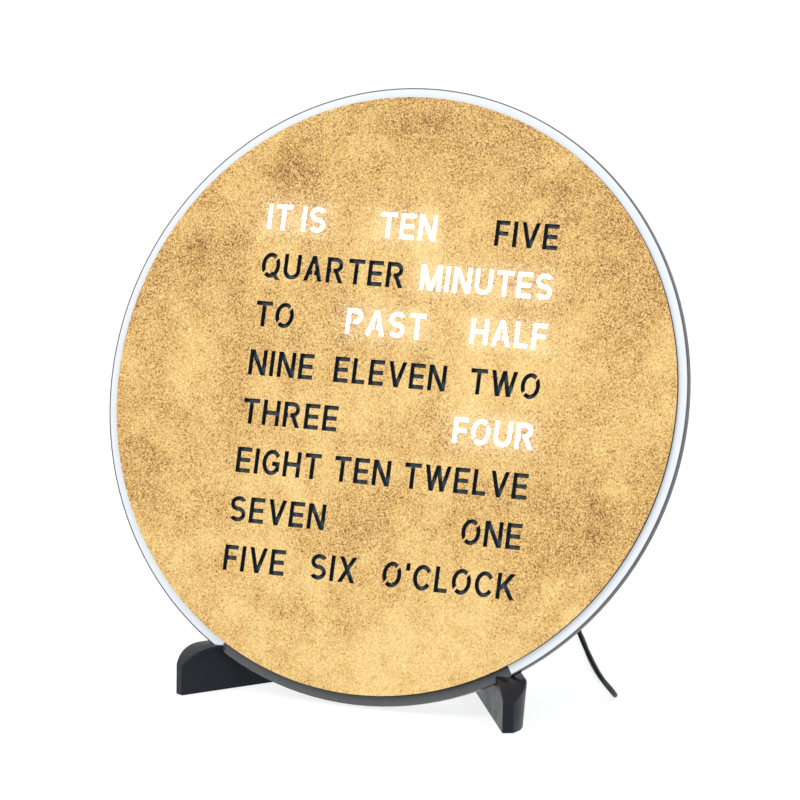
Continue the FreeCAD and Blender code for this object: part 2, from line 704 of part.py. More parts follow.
def make_switches():
    bodies = []
    bore_end = PLUNGER_FRONT + BUTTON_TRAVEL + BUTTON_RUNNING_GAP
    for u, v in button_places():
        body = block(SWITCH_SIZE, SWITCH_SIZE, SWITCH_BACK, SWITCH_BOARD_BACK, u, v)
        bodies.append(body.cut(cylinder(PLUNGER_RADIUS + PLUNGER_CLEARANCE, SWITCH_BACK, bore_end, u, v)))
    return together(bodies)


def make_button_board():
    front = SWITCH_BOARD_BACK + BOARD_THICKNESS
    return block(BUTTON_BOARD_WIDTH, BUTTON_BOARD_HEIGHT, SWITCH_BOARD_BACK, front, 0, BUTTON_CENTRE_V)


def make_button_posts():
    posts = []
    for side in (-1, 1):
        u = side * (BUTTON_BOARD_WIDTH / 2 - BUTTON_POST_RADIUS)
        posts.append(cylinder(BUTTON_POST_RADIUS, SWITCH_BOARD_BACK + BOARD_THICKNESS, LED_BOARD_BACK,
                              u, BUTTON_CENTRE_V))
    return together(posts)


# Power inlet

INLET_NOSE_BACK = COVER_BACK
INLET_BODY_BACK = HOUSING_BACK + LAYER_GAP
INLET_BODY_FRONT = INLET_BODY_BACK + INLET_DEPTH - COVER_THICKNESS
BORE_END = INLET_NOSE_BACK + BARREL_LENGTH + INLET_FLOOR_CLEARANCE


def make_power_inlet():
    body = block(INLET_WIDTH, INLET_WIDTH, INLET_BODY_BACK, INLET_BODY_FRONT, INLET_U, INLET_V)
    nose = cylinder(INLET_NOSE_RADIUS, INLET_NOSE_BACK, INLET_BODY_BACK, INLET_U, INLET_V)
    body = body.fuse(nose).cut(cylinder(INLET_BORE_RADIUS, INLET_NOSE_BACK, BORE_END, INLET_U, INLET_V))
    pin = cylinder(INLET_PIN_RADIUS, INLET_NOSE_BACK + INLET_PIN_SETBACK, BORE_END, INLET_U, INLET_V)
    return body.fuse(pin)


def make_inlet_board():
    return block(INLET_BOARD_WIDTH, INLET_BOARD_WIDTH, INLET_BODY_FRONT, INLET_BODY_FRONT + BOARD_THICKNESS,
                 INLET_U, INLET_V)


def make_inlet_posts():
    posts = []
    reach = INLET_BOARD_WIDTH / 2 - INLET_POST_INSET
    for su, sv in ((-1, 1), (1, -1)):
        posts.append(cylinder(INLET_POST_RADIUS, INLET_BODY_FRONT + BOARD_THICKNESS, LED_BOARD_BACK,
                              INLET_U + su * reach, INLET_V + sv * reach))
    return together(posts)


def make_inlet_lead():
    """Two-core lead from the inlet's board to the control board, bent in two soft turns."""
    level = INLET_BODY_FRONT + BOARD_THICKNESS / 2
    start = Vector(INLET_U - INLET_BOARD_WIDTH / 2, INLET_V, level)
    end = Vector(CONTROL_WIDTH / 2 - LEAD_END_INSET, CONTROL_CENTRE_V - CONTROL_HEIGHT / 2,
                 CONTROL_BACK + BOARD_THICKNESS / 2)
    first = Vector(start.x - LEAD_RUN, start.y, start.z)
    last = Vector(end.x, end.y - LEAD_RUN, end.z)
    return swept(rounded_path([start, first, last, end])[0], 2 * LEAD_RADIUS)


# Lead. Its path is straight runs joined by tangent arcs.

def rounded_path(points):
    """Wire through the points' runs, with an arc at each inner point, and its least radius."""
    edges = []
    radii = []
    here = points[0]
    for before, corner, after in zip(points, points[1:], points[2:]):
        into = corner - before
        out = after - corner
        turn = into.getAngle(out)
        shorter = min(into.Length, out.Length)
        radius = 0.45 * shorter / math.tan(turn / 2)
        back = 0.45 * shorter
        into.normalize()
        out.normalize()
        start = corner - into * back
        end = corner + out * back
        inward = out - into
        inward.normalize()
        middle = corner + inward * (radius / math.cos(turn / 2) - radius)
        if (start - here).Length > 1e-6:
            edges.append(Part.LineSegment(here, start).toShape())
        edges.append(Part.Arc(start, middle, end).toShape())
        radii.append(radius)
        here = end
    edges.append(Part.LineSegment(here, points[-1]).toShape())
    return Part.Wire(edges), radii


def swept(wire, diameter):
    first = wire.Edges[0]
    start = first.valueAt(first.FirstParameter)
    heading = first.tangentAt(first.FirstParameter)
    ring = Part.Wire(Part.Circle(start, heading, diameter / 2).toShape())
    return wire.makePipeShell([ring], True, False)


def disc_point(u, v, n):
    """A point of the disc's own frame, in the part's frame."""
    return DISC_PLACE.multVec(Vector(u, v, n))


def disc_direction(u, v, n):
    return DISC_PLACE.Rotation.multVec(Vector(u, v, n))


PLUG_START = COVER_BACK - LAYER_GAP
PLUG_END = PLUG_START - PLUG_LENGTH
RELIEF_END = PLUG_END - RELIEF_LENGTH


def make_barrel_plug():
    grip = cylinder(PLUG_RADIUS, PLUG_END, PLUG_START, INLET_U, INLET_V)
    rims = [edge for edge in grip.Edges if edge.Closed and edge.BoundBox.ZLength < 0.01]
    return grip.makeFillet(PLUG_EDGE_RADIUS, rims)


def make_plug_barrel():
    tip = PLUG_START + BARREL_LENGTH
    sleeve = cylinder(BARREL_RADIUS, PLUG_START, tip, INLET_U, INLET_V)
    return sleeve.cut(cylinder(BARREL_RADIUS - BARREL_WALL, PLUG_START, tip, INLET_U, INLET_V))


def make_plug_relief():
    return Part.makeCone(CORD_DIAMETER / 2 + RELIEF_END_WALL, RELIEF_RADIUS, RELIEF_LENGTH,
                         Vector(INLET_U, INLET_V, RELIEF_END), FRONT)


# Route of the lead from its relief to the coil, as points chosen by hand
EXIT_RUN = 11.0
ROUTE_POINTS = (
    (68.5, 49.5, 52.5),
    (77.0, 43.0, 41.5),
    (85.2, 33.5, 30.0),
    (93.0, 29.8, 18.5),
    (101.4, 22.4, 11.4),
    (106.0, 24.2, 5.6),
    (106.4, 30.5, 1.25),
    (98.9, 43.7, 1.25),
    (83.0, 68.5, 1.25),
    (62.6, 107.6, 1.25),
    (49.9, 135.7, 1.25),
)
COIL_RUN = 22.0
COIL_CENTRE = Vector(9.5, 146.1, 0)
HALF_TURNS = (6, 6, 6, 5)
TAIL_RUN = 12.0
TAIL_POINTS = (
    (-15.0, 163.6, 9.0),
    (-27.0, 159.5, 5.5),
    (-39.0, 154.5, 3.75),
)
TAIL_END = (-50.0, 150.0, 3.75)


def tangent_arc(start, heading, end):
    """Arc that leaves start along the heading and reaches end, with its heading there."""
    chord = end - start
    along = Vector(chord).normalize()
    turn = math.acos(max(-1.0, min(1.0, heading.dot(along))))
    side = heading - along * heading.dot(along)
    side.normalize()
    middle = start + chord * 0.5 + side * (chord.Length / 2 * math.tan(turn / 2))
    leaving = along * (2 * heading.dot(along)) - heading
    return Part.Arc(start, middle, end), leaving


def coil_path():
    """Neat round coil in flat spirals, which climbs a layer where the spiral turns round."""
    level = CORD_DIAMETER / 2
    radius = COIL_MIDDLE_RADIUS + COIL_PITCH * HALF_TURNS[0] / 4
    side = 1
    heading = Vector(-1, 0, 0)
    here = COIL_CENTRE + Vector(0, radius, level)
    ends = [here, here - heading * CORD_DIAMETER]
    edges = [Part.LineSegment(ends[1], ends[0]).toShape()]
    for layer, count in enumerate(HALF_TURNS):
        step = -COIL_PITCH / 2 if layer % 2 == 0 else COIL_PITCH / 2
        for _ in range(count):
            radius += step
            side = -side
            there = COIL_CENTRE + Vector(0, side * radius, level)
            arc, heading = tangent_arc(here, heading, there)
            edges.append(arc.toShape())
            here = there
        if layer + 1 < len(HALF_TURNS):
            side = -side
            there = COIL_CENTRE + Vector(0, side * radius, level + COIL_LAYER_HEIGHT)
            rise = COIL_LAYER_HEIGHT / 2
            reach = math.hypot(radius, rise)
            middle = COIL_CENTRE + Vector(0, 0, level + rise) + heading * reach
            for end in (middle, there):
                arc, heading = tangent_arc(here, heading, end)
                edges.append(arc.toShape())
                here = end
            level += COIL_LAYER_HEIGHT
    edges.append(Part.LineSegment(here, here + heading * CORD_DIAMETER).toShape())
    return Part.Wire(edges), ends[1], here + heading * CORD_DIAMETER


def least_self_gap(wire, diameter):
    """Least gap between stretches of one tube that are over two diameters apart along it."""
    points = wire.discretize(Number=1800)
    step = wire.Length / (len(points) - 1)
    skip = int(3 * diameter / step) + 1
    least = min((points[i] - points[j]).Length
                for i in range(len(points)) for j in range(i + skip, len(points), 2))
    return least - diameter


def report_tube(name, wire, radii, shape, diameter):
    section = math.pi * diameter ** 2 / 4
    print(name, "length", round(wire.Length, 1), "radii", [round(r, 1) for r in radii],
          "volume ratio", round(shape.Volume / (section * wire.Length), 4))


def make_cord_parts():
    relief_end = disc_point(INLET_U, INLET_V, RELIEF_END)
    leaving = disc_direction(0, 0, -1)
    coil_wire, coil_start, coil_end = coil_path()
    route = [relief_end, relief_end + leaving * EXIT_RUN] + [Vector(*point) for point in ROUTE_POINTS]
    route += [coil_start + Vector(COIL_RUN, 0, 0), coil_start]
    tail = [coil_end, coil_end - Vector(TAIL_RUN, 0, 0)] + [Vector(*point) for point in TAIL_POINTS]
    tail.append(Vector(*TAIL_END))
    pieces = {}
    for name, points in (("power_cord", route), ("cord_tail", tail)):
        wire, radii = rounded_path(points)
        pieces[name] = swept(wire, CORD_DIAMETER)
        report_tube(name, wire, radii, pieces[name], CORD_DIAMETER)
    pieces["cord_coil"] = swept(coil_wire, CORD_DIAMETER)
    report_tube("cord_coil", coil_wire, [], pieces["cord_coil"], CORD_DIAMETER)
    print("cord_coil least gap to itself", round(least_self_gap(coil_wire, CORD_DIAMETER), 3))
    return pieces


def make_usb_parts():
    """Plug at the lead's far end, lying flat, with its relief towards the lead."""
    before = Vector(*TAIL_POINTS[-1])
    end = Vector(*TAIL_END)
    heading = (end - before).normalize()
    place = Placement(end, Rotation(Vector(1, 0, 0), heading))
    relief_end_radius = USB_BODY_HEIGHT / 2 - USB_RELIEF_STEP
    relief = Part.makeCone(CORD_DIAMETER / 2 + RELIEF_END_WALL, relief_end_radius, USB_RELIEF_LENGTH,
                           Vector(0, 0, 0), Vector(1, 0, 0))
    body_start = USB_RELIEF_LENGTH
    body = Part.makeBox(USB_BODY_LENGTH, USB_BODY_WIDTH, USB_BODY_HEIGHT,
                        Vector(body_start, -USB_BODY_WIDTH / 2, -USB_BODY_HEIGHT / 2))
    long_edges = [edge for edge in body.Edges if edge.BoundBox.XLength > USB_BODY_LENGTH / 2]
    body = body.makeFillet(USB_EDGE_RADIUS, long_edges)
    shell_start = body_start + USB_BODY_LENGTH
    shell = Part.makeBox(USB_SHELL_LENGTH, USB_SHELL_WIDTH, USB_SHELL_HEIGHT,
                         Vector(shell_start, -USB_SHELL_WIDTH / 2, -USB_SHELL_HEIGHT / 2))
    inner_width = USB_SHELL_WIDTH - 2 * USB_SHELL_WALL
    inner_height = USB_SHELL_HEIGHT - 2 * USB_SHELL_WALL
    hollow = Part.makeBox(USB_SHELL_LENGTH, inner_width, inner_height,
                          Vector(shell_start, -inner_width / 2, -inner_height / 2))
    tongue_width = inner_width - USB_TONGUE_SETBACK
    tongue = Part.makeBox(USB_SHELL_LENGTH - USB_TONGUE_SETBACK, tongue_width, USB_TONGUE_THICKNESS,
                          Vector(shell_start, -tongue_width / 2, inner_height / 2 - USB_TONGUE_THICKNESS))
    pieces = {"usb_relief": relief, "usb_body": body, "usb_shell": shell.cut(hollow), "usb_tongue": tongue}
    for piece in pieces.values():
        piece.Placement = place
    return pieces


# Feet

def foot_outline(width, level):
    """Plan of the foot: flat inner side, nose rounded towards the outside, round tail."""
    rise = width - FOOT_NOSE_FLAT
    radius = (FOOT_NOSE_LENGTH ** 2 + rise ** 2) / (2 * rise)
    centre_w = width - radius
    start_angle = math.degrees(math.atan2(FOOT_NOSE_FLAT - centre_w, -FOOT_NOSE_LENGTH))
    s, w = polar(radius, (start_angle + 90) / 2)
    nose = Part.Arc(Vector(0, FOOT_NOSE_FLAT, level), Vector(FOOT_NOSE_LENGTH + s, centre_w + w, level),
                    Vector(FOOT_NOSE_LENGTH, width, level))
    tail_start = FOOT_LENGTH - width / 2
    tail = Part.Arc(Vector(tail_start, width, level), Vector(FOOT_LENGTH, width / 2, level),
                    Vector(tail_start, 0, level))
    return Part.Wire([
        Part.LineSegment(Vector(0, 0, level), Vector(0, FOOT_NOSE_FLAT, level)).toShape(),
        nose.toShape(),
        Part.LineSegment(Vector(FOOT_NOSE_LENGTH, width, level), Vector(tail_start, width, level)).toShape(),
        tail.toShape(),
        Part.LineSegment(Vector(tail_start, 0, level), Vector(0, 0, level)).toShape()])


def foot_profile():
    """Side view of the foot, as a bar wider than the foot."""
    rise = FOOT_CREST_HEIGHT - FOOT_FRONT_HEIGHT
    radius = (FOOT_CREST_START ** 2 + rise ** 2) / (2 * rise)
    centre_z = FOOT_CREST_HEIGHT - radius
    half_way = FOOT_CREST_START / 2
    bump = centre_z + math.sqrt(radius ** 2 - (FOOT_CREST_START - half_way) ** 2)
    crest = Part.Arc(Vector(0, 0, FOOT_FRONT_HEIGHT), Vector(half_way, 0, bump),
                     Vector(FOOT_CREST_START, 0, FOOT_CREST_HEIGHT))
    end = FOOT_LENGTH + OVERCUT
    corners = [Vector(FOOT_CREST_START, 0, FOOT_CREST_HEIGHT), Vector(FOOT_CREST_END, 0, FOOT_CREST_HEIGHT),
               Vector(end, 0, FOOT_TAIL_HEIGHT), Vector(end, 0, FOOT_PAD_PROUD),
               Vector(0, 0, FOOT_PAD_PROUD), Vector(0, 0, FOOT_FRONT_HEIGHT)]
    edges = [crest.toShape()] + [Part.LineSegment(a, b).toShape() for a, b in zip(corners, corners[1:])]
    face = Part.Face(Part.Wire(edges))
    face.translate(Vector(0, -OVERCUT, 0))
    return face.extrude(Vector(0, FOOT_WIDTH + 2 * OVERCUT, 0))


FOOT_PLACE = Placement(Vector(-FOOT_FRONT_X, DISC_Y + FOOT_FRONT_Y, 0), Rotation(UP, 90 - FOOT_SPLAY))


def disc_envelope():
    """The disc's edge and the housing, with the slot's clearance all round them."""
    slot = cylinder(RIM_RADIUS + SLOT_CLEARANCE, SMOKED_BACK - SLOT_CLEARANCE, FACE_BACK + SLOT_CLEARANCE)
    step = cylinder(FACE_RADIUS + SLOT_CLEARANCE, FACE_BACK, SLOT_CLEARANCE)
    housing = cylinder(HOUSING_RADIUS + SLOT_CLEARANCE, COVER_BACK - SLOT_CLEARANCE, SMOKED_BACK)
    envelope = slot.multiFuse([step, housing])
    envelope.Placement = DISC_PLACE
    return envelope


def pad_places():
    return [(s, FOOT_WIDTH / 2 - FOOT_DRAFT / 2) for s in FOOT_PAD_PLACES]


def mirrored(shape):
    return shape.mirror(Vector(0, 0, 0), Vector(1, 0, 0))


def make_left_foot():
    bottom = foot_outline(FOOT_WIDTH - FOOT_DRAFT, 0)
    top = foot_outline(FOOT_WIDTH, FOOT_CREST_HEIGHT + OVERCUT)
    foot = Part.makeLoft([bottom, top], True, True).common(foot_profile())
    soft = [edge for edge in foot.Edges if edge.BoundBox.ZMax > FOOT_PAD_PROUD + OVERCUT]
    foot = foot.makeFillet(FOOT_EDGE_RADIUS, soft)
    pockets = [Part.makeCylinder(FOOT_PAD_RADIUS + FOOT_PAD_CLEARANCE, FOOT_PAD_THICKNESS, Vector(s, w, 0))
               for s, w in pad_places()]
    foot = foot.cut(together(pockets))
    foot.Placement = FOOT_PLACE
    return foot.cut(disc_envelope())


def make_left_pads():
    pads = together([Part.makeCylinder(FOOT_PAD_RADIUS, FOOT_PAD_THICKNESS, Vector(s, w, 0))
                     for s, w in pad_places()])
    pads.Placement = FOOT_PLACE
    return pads


def disc_parts():
    """Nodes that are drawn in the disc's own frame."""
    makers = {
        "face_plate": make_face_plate,
        "rim_ring": make_rim_ring,
        "light_mask": make_light_mask,
        "smoked_disc": make_smoked_disc,
        "face_studs": make_face_studs,
        "stud_nuts": make_stud_nuts,
        "diffuser_sheet": make_diffuser,
        "light_baffle": make_light_baffle,
        "led_board": make_led_board,
        "leds": make_leds,
        "board_standoffs": make_standoffs,
        "control_board": make_control_board,
        "board_screws": make_board_screws,
        "main_chip": make_main_chip,
        "clock_chip": make_clock_chip,
        "capacitors": make_capacitors,
        "board_header": make_board_header,
        "coin_cell_holder": make_cell_holder,
        "coin_cell": make_coin_cell,
        "rear_housing": make_rear_housing,
        "back_cover": make_back_cover,
        "cover_screws": make_cover_screws,
        "switch_bodies": make_switches,
        "button_board": make_button_board,
        "button_board_posts": make_button_posts,
        "power_inlet": make_power_inlet,
        "inlet_board": make_inlet_board,
        "inlet_board_posts": make_inlet_posts,
        "inlet_lead": make_inlet_lead,
        "barrel_plug": make_barrel_plug,
        "plug_barrel": make_plug_barrel,
        "plug_relief": make_plug_relief,
    }
    shapes = {name: maker() for name, maker in makers.items()}
    for use, (u, v) in zip(("hour", "minute", "light"), button_places()):
        shapes["button_" + use] = make_button(u, v)
        shapes["plunger_" + use] = make_plunger(u, v)
    for shape in shapes.values():
        shape.Placement = DISC_PLACE.multiply(shape.Placement)
    return shapes


def table_parts():
    """Nodes that are drawn standing on the table."""
    foot = make_left_foot()
    pads = make_left_pads()
    shapes = {"foot_left": foot, "foot_right": mirrored(foot),
              "foot_pads_left": pads, "foot_pads_right": mirrored(pads)}
    shapes.update(make_cord_parts())
    shapes.update(make_usb_parts())
    return shapes


def main():
    os.makedirs("parts", exist_ok=True)
    shapes = disc_parts()
    shapes.update(table_parts())
    for name, shape in shapes.items():
        shape.exportStep("parts/" + name + ".step")
        print(name, len(shape.Solids), round(shape.Volume, 1), shape.isValid())


main()
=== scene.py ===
import math
import bmesh
import bpy
from mathutils import Matrix, Vector


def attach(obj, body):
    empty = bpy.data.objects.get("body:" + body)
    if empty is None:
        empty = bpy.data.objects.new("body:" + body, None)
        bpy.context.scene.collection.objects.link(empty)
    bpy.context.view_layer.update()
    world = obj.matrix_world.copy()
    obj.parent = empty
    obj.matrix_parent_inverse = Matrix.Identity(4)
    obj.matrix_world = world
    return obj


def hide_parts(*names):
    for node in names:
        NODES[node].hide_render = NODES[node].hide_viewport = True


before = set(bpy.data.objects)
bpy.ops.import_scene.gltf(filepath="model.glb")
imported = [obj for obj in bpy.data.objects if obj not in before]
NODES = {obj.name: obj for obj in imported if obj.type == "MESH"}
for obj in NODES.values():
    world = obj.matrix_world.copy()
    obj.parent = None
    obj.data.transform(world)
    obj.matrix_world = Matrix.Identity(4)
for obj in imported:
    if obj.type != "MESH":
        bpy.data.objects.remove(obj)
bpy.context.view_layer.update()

MM = 0.001

# Disc's own frame: u to the right, v up in the disc's plane, n out of its face
LEAN = math.radians(16.0)
SIN_LEAN = math.sin(LEAN)
COS_LEAN = math.cos(LEAN)
DISC_CENTRE = Vector((0.0, -5.840, 146.560))
AXIS_U = Vector((1.0, 0.0, 0.0))
AXIS_V = Vector((0.0, SIN_LEAN, COS_LEAN))
AXIS_N = Vector((0.0, -COS_LEAN, SIN_LEAN))


def disc(u, v, n):
    """A point of the disc's frame, given in millimetres, in the part's frame in metres."""
    return (DISC_CENTRE + AXIS_U * u + AXIS_V * v + AXIS_N * n) * MM


def srgb(*values):
    """A colour from 0 to 255 as Blender's linear one."""
    parts = [value / 255 for value in values]
    return tuple(p / 12.92 if p <= 0.04045 else ((p + 0.055) / 1.055) ** 2.4 for p in parts) + (1.0,)


# Camera: its place seen from the disc's centre in millimetres, and its axes

CAMERA_PLACE = Vector((861.34, -2032.52, 376.05))
CAMERA_RIGHT = Vector((0.92023, 0.39097, 0.01785))
CAMERA_UP = Vector((-0.08233, 0.14880, 0.98543))
CAMERA_BACK = Vector((0.38262, -0.90830, 0.16912))

camera_data = bpy.data.cameras.new("camera")
camera_data.sensor_width = 36.0
camera_data.lens = 209.564
camera_data.clip_start = 0.1
camera_data.clip_end = 60.0
camera = bpy.data.objects.new("camera", camera_data)
bpy.context.collection.objects.link(camera)
camera_matrix = Matrix((CAMERA_RIGHT, CAMERA_UP, CAMERA_BACK)).transposed().to_4x4()
camera_matrix.translation = (CAMERA_PLACE + DISC_CENTRE) * MM
camera.matrix_world = camera_matrix
bpy.context.scene.camera = camera


# Cord: the route's points and the coil's loops, as one smooth spline. Each point carries
# the cord's own radius in metres, which a bevel depth of 1 keeps as it is.

CORD_DIAMETER = 2.5
INLET = (66.0, -66.0)
RELIEF_END_LEVEL = -59.3
EXIT_RUN = 11.0
COIL_RUN = 22.0
TAIL_RUN = 12.0
ROUTE = (
    (68.5, 49.5, 52.5),
    (77.0, 43.0, 41.5),
    (85.2, 33.5, 30.0),
    (93.0, 29.8, 18.5),
    (101.4, 22.4, 11.4),
    (106.0, 24.2, 5.6),
    (106.4, 30.5, 1.25),
    (98.9, 43.7, 1.25),
    (83.0, 68.5, 1.25),
    (62.6, 107.6, 1.25),
    (49.9, 135.7, 1.25),
)
TAIL = (
    (-15.0, 163.6, 9.0),
    (-27.0, 159.5, 5.5),
    (-39.0, 154.5, 3.75),
    (-50.0, 150.0, 3.75),
)
COIL_CENTRE = (9.5, 146.1)
COIL_PITCH = 3.6
COIL_LAYER_HEIGHT = 3.1
COIL_MIDDLE_RADIUS = 15.0
HALF_TURNS = (6, 6, 6, 5)
POINTS_PER_HALF_TURN = 12


def coil_point(radius, angle, level):
    """Point at a radius and an angle round the coil's centre."""
    return (COIL_CENTRE[0] + radius * math.cos(angle), COIL_CENTRE[1] + radius * math.sin(angle), level)


def coil_points():
    """Points of the coil's loops: flat spirals, with a climb of half a turn between layers."""
    points = []
    radius = COIL_MIDDLE_RADIUS + COIL_PITCH * HALF_TURNS[0] / 4
    angle = math.pi / 2
    level = CORD_DIAMETER / 2
    for layer, count in enumerate(HALF_TURNS):
        step = -COIL_PITCH / 2 if layer % 2 == 0 else COIL_PITCH / 2
        spans = [(step, 0.0)] * count
        if layer + 1 < len(HALF_TURNS):
            spans.append((0.0, COIL_LAYER_HEIGHT))
        for grow, rise in spans:
            for k in range(POINTS_PER_HALF_TURN):
                share = k / POINTS_PER_HALF_TURN
                turn = math.pi * share
                climb = rise * (1 - math.cos(turn)) / 2
                points.append(coil_point(radius + grow * share, angle + turn, level + climb))
            angle += math.pi
            radius += grow
            level += rise
    return points + [coil_point(radius, angle, level)]


RELIEF_END = disc(*INLET, RELIEF_END_LEVEL)
exit_point = RELIEF_END / MM
coil = coil_points()
coil_start = Vector(coil[0]) + AXIS_U * CORD_DIAMETER
coil_end = Vector(coil[-1]) - AXIS_U * CORD_DIAMETER
route = [exit_point, exit_point - AXIS_N * EXIT_RUN] + [Vector(p) for p in ROUTE]
route += [coil_start + AXIS_U * COIL_RUN, coil_start] + [Vector(p) for p in coil]
route += [coil_end, coil_end - AXIS_U * TAIL_RUN] + [Vector(p) for p in TAIL]

cord_data = bpy.data.curves.new("lead", "CURVE")
cord_data.dimensions = "3D"
cord_data.bevel_depth = 1.0
cord_data.bevel_resolution = 5
cord_data.resolution_u = 6
cord_data.use_fill_caps = True
spline = cord_data.splines.new("NURBS")
spline.points.add(len(route) - 1)
for point, place_at in zip(spline.points, route):
    point.co = (*(place_at * MM), 1.0)
    point.radius = CORD_DIAMETER / 2 * MM
spline.order_u = 3
spline.use_endpoint_u = True
lead = bpy.data.objects.new("lead", cord_data)
bpy.context.collection.objects.link(lead)
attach(lead, "clock")
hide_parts("power_cord", "cord_coil", "cord_tail")


# Materials

class Tree:
    """Short words for building a node material."""

    def __init__(self, name):
        self.material = bpy.data.materials.new(name)
        self.material.use_nodes = True
        self.tree = self.material.node_tree
        self.tree.nodes.clear()
        self.output = self.tree.nodes.new("ShaderNodeOutputMaterial")
        self.place = self.tree.nodes.new("ShaderNodeTexCoord").outputs["Object"]

    def link(self, source, socket):
        if hasattr(source, "node"):
            self.tree.links.new(source, socket)
        else:
            socket.default_value = source

    def add(self, kind, **sockets):
        node = self.tree.nodes.new(kind)
        for name, value in sockets.items():
            self.link(value, node.inputs[name.replace("_", " ")])
        return node

    def math(self, operation, a, b=0.0, clamp=False):
        node = self.tree.nodes.new("ShaderNodeMath")
        node.operation = operation
        node.use_clamp = clamp
        self.link(a, node.inputs[0])
        self.link(b, node.inputs[1])
        return node.outputs[0]

    def weigh(self, a, share_a, b, share_b):
        """Sum of two values, each times its share."""
        return self.math("ADD", self.math("MULTIPLY", a, share_a), self.math("MULTIPLY", b, share_b))

    def length(self, a, b):
        """Length of the line whose two legs are a and b."""
        return self.math("SQRT", self.weigh(a, a, b, b))

    def dot(self, vector, direction):
        node = self.tree.nodes.new("ShaderNodeVectorMath")
        node.operation = "DOT_PRODUCT"
        self.link(vector, node.inputs[0])
        node.inputs[1].default_value = direction
        return node.outputs["Value"]

    def noise(self, scale, detail=3.0, roughness=0.55, vector=None):
        node = self.add("ShaderNodeTexNoise", Scale=scale, Detail=detail, Roughness=roughness)
        self.link(vector or self.place, node.inputs["Vector"])
        return node.outputs["Fac"]

    def smooth(self, value, low, high, start=0.0, end=1.0):
        node = self.tree.nodes.new("ShaderNodeMapRange")
        node.interpolation_type = "SMOOTHSTEP"
        for socket, number in zip(node.inputs[1:5], (low, high, start, end)):
            socket.default_value = number
        self.link(value, node.inputs[0])
        return node.outputs[0]

    def ramp(self, value, stops):
        node = self.tree.nodes.new("ShaderNodeValToRGB")
        elements = node.color_ramp.elements
        while len(elements) < len(stops):
            elements.new(0.5)
        for element, (position, colour) in zip(elements, stops):
            element.position = position
            element.color = colour
        self.link(value, node.inputs[0])
        return node.outputs["Color"]

    def mix(self, share, a, b):
        node = self.tree.nodes.new("ShaderNodeMix")
        node.data_type = "RGBA"
        self.link(share, node.inputs["Factor"])
        self.link(a, node.inputs[6])
        self.link(b, node.inputs[7])
        return node.outputs[2]

    def bump(self, height, strength, distance):
        return self.add("ShaderNodeBump", Height=height, Strength=strength, Distance=distance).outputs[0]

    def surface(self, **sockets):
        shader = self.add("ShaderNodeBsdfPrincipled", **sockets)
        self.tree.links.new(shader.outputs[0], self.output.inputs["Surface"])
        return shader


def distance_along(t, axis):
    """Distance in millimetres from the disc's centre along one of its own axes."""
    shifted = t.tree.nodes.new("ShaderNodeVectorMath")
    shifted.operation = "SUBTRACT"
    t.link(t.place, shifted.inputs[0])
    shifted.inputs[1].default_value = DISC_CENTRE * MM
    return t.dot(shifted.outputs[0], tuple(axis / MM))


def plain(name, colour, roughness, metallic=0.0, scale=400.0, vary=0.12, bump=0.15, depth=0.0002, **more):
    """Even material with slight cloudiness, a fine surface and uneven gloss."""
    t = Tree(name)
    clouds = t.noise(scale * 0.08, 4.0)
    grain = t.noise(scale, 3.0)
    dark = tuple(c * (1 - vary) for c in colour[:3]) + (1.0,)
    light = tuple(min(1.0, c * (1 + vary)) for c in colour[:3]) + (1.0,)
    tone = t.weigh(clouds, 0.6, grain, 0.4)
    base = t.mix(t.smooth(tone, 0.3, 0.7), dark, light)
    rough = t.smooth(clouds, 0.3, 0.7, max(0.05, roughness - 0.06), min(1.0, roughness + 0.06))
    t.surface(Base_Color=base, Roughness=rough, Metallic=metallic,
              Normal=t.bump(grain, bump, depth), **more)
    return t.material


# Spans in millimetres in which a look changes: three by radius and the last one along n

# Past the first span the face plate's outer wall is painted near black as shade.
FACE_EDGE_SHADE = (138.0, 142.0)
SMOKED_MARGIN = (130.5, 131.5)
# Past the third span the rim's outer line is painted dark as shade.
RIM_EDGE_SHADE = (149.2, 149.6)
SMOKED_FRONT = (-4.5, -3.6)


# Lit words, each with its row from the top, its left edge and its right edge in the disc's frame

ROW_PITCH = 24.0
FIRST_BASE = 75.55
CAP_HEIGHT = 12.45
LIT_WORDS = (
    (0, -76.0, -45.3),
    (0, -16.4, 13.1),
    (1, 8.0, 76.0),
    (2, -27.7, 13.7),
    (2, 37.2, 76.0),
    (4, 34.7, 76.0),
)


def outside(t, value, middle, half):
    """How far a value lies outside a span, zero inside it."""
    off = t.math("ABSOLUTE", t.math("SUBTRACT", value, middle))
    return t.math("MAXIMUM", t.math("SUBTRACT", off, half), 0.0)


def lit_distance(t, u, v):
    """Distance in millimetres from the nearest lit word's box, zero inside it."""
    nearest = None
    for row, left, right in LIT_WORDS:
        off_u = outside(t, u, (left + right) / 2, (right - left) / 2)
        off_v = outside(t, v, FIRST_BASE - row * ROW_PITCH + CAP_HEIGHT / 2, CAP_HEIGHT / 2)
        away = t.length(off_u, off_v)
        nearest = away if nearest is None else t.math("MINIMUM", nearest, away)
    return nearest


def facing(t):
    """One where the surface looks straight out of the disc's face or back, zero on its edges."""
    normal = t.tree.nodes.new("ShaderNodeNewGeometry").outputs["Normal"]
    world = t.tree.nodes.new("ShaderNodeVectorTransform")
    world.vector_type = "NORMAL"
    world.convert_from = "WORLD"
    world.convert_to = "OBJECT"
    t.link(normal, world.inputs[0])
    along = t.math("ABSOLUTE", t.dot(world.outputs[0], tuple(AXIS_N)))
    return t.smooth(along, 0.6, 0.9)


